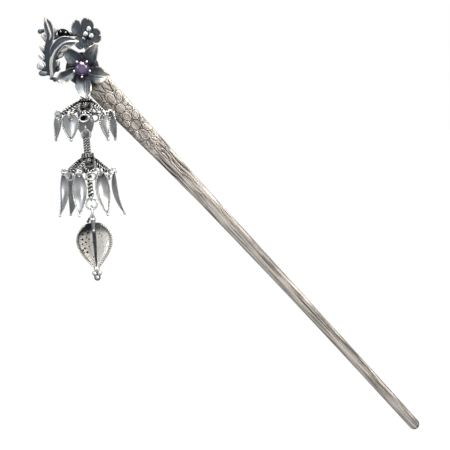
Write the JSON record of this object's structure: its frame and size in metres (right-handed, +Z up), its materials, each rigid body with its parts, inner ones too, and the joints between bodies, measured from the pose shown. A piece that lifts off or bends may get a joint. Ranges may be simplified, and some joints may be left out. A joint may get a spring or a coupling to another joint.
{
  "type": "hair stick with swinging drops",
  "caption": "Silver hair stick with a flowered head, a round purple stone and a string of heart and leaf drops that swings from the head.",
  "frame": {"origin": "middle of the shank, inside the bar, where the hair holds it", "axes": "+Z up as the string of drops hangs, +X to the right, -Y towards the viewer and the flowers' faces"},
  "size_m": [0.1203, 0.022, 0.15],
  "materials": {
    "silver": "worn satin silver with dark hollows",
    "bright_silver": "polished silver",
    "amethyst": "polished faceted stone"
  },
  "bodies": {
    "pin": {"pin": "silver", "amethyst": "amethyst"},
    "upper_drop": {"upper_crown": "silver", "heart_1": "bright_silver", "heart_2": "bright_silver", "heart_3": "bright_silver", "heart_4": "bright_silver", "heart_5": "bright_silver", "heart_ring_1": "silver", "heart_ring_2": "silver", "heart_ring_3": "silver", "heart_ring_4": "silver", "heart_ring_5": "silver"},
    "lower_drop": {"lower_crown": "silver", "long_leaf_1": "bright_silver", "long_leaf_2": "bright_silver", "long_leaf_3": "bright_silver", "long_leaf_4": "bright_silver", "long_leaf_5": "bright_silver", "long_leaf_6": "bright_silver", "leaf_ring_1": "silver", "leaf_ring_2": "silver", "leaf_ring_3": "silver", "leaf_ring_4": "silver", "leaf_ring_5": "silver", "leaf_ring_6": "silver", "jump_ring": "bright_silver"},
    "pendant_drop": {"small_link": "bright_silver", "leaf_pendant": "bright_silver"}
  },
  "joints": [
    {"name": "upper_swing", "type": "hinge", "parent": "pin", "child": "upper_drop", "pos_m": [-0.0463, -0.0052, 0.0476], "axis": [0, 1, 0], "range_deg": [-5, 25]},
    {"name": "lower_swing", "type": "hinge", "parent": "upper_drop", "child": "lower_drop", "pos_m": [-0.0463, -0.0052, 0.0346], "axis": [0, 1, 0], "range_deg": [-20, 20]},
    {"name": "pendant_swing", "type": "hinge", "parent": "lower_drop", "child": "pendant_drop", "pos_m": [-0.0463, -0.0052, 0.0087], "axis": [1, 0, 0], "range_deg": [-40, 40]}
  ]
}
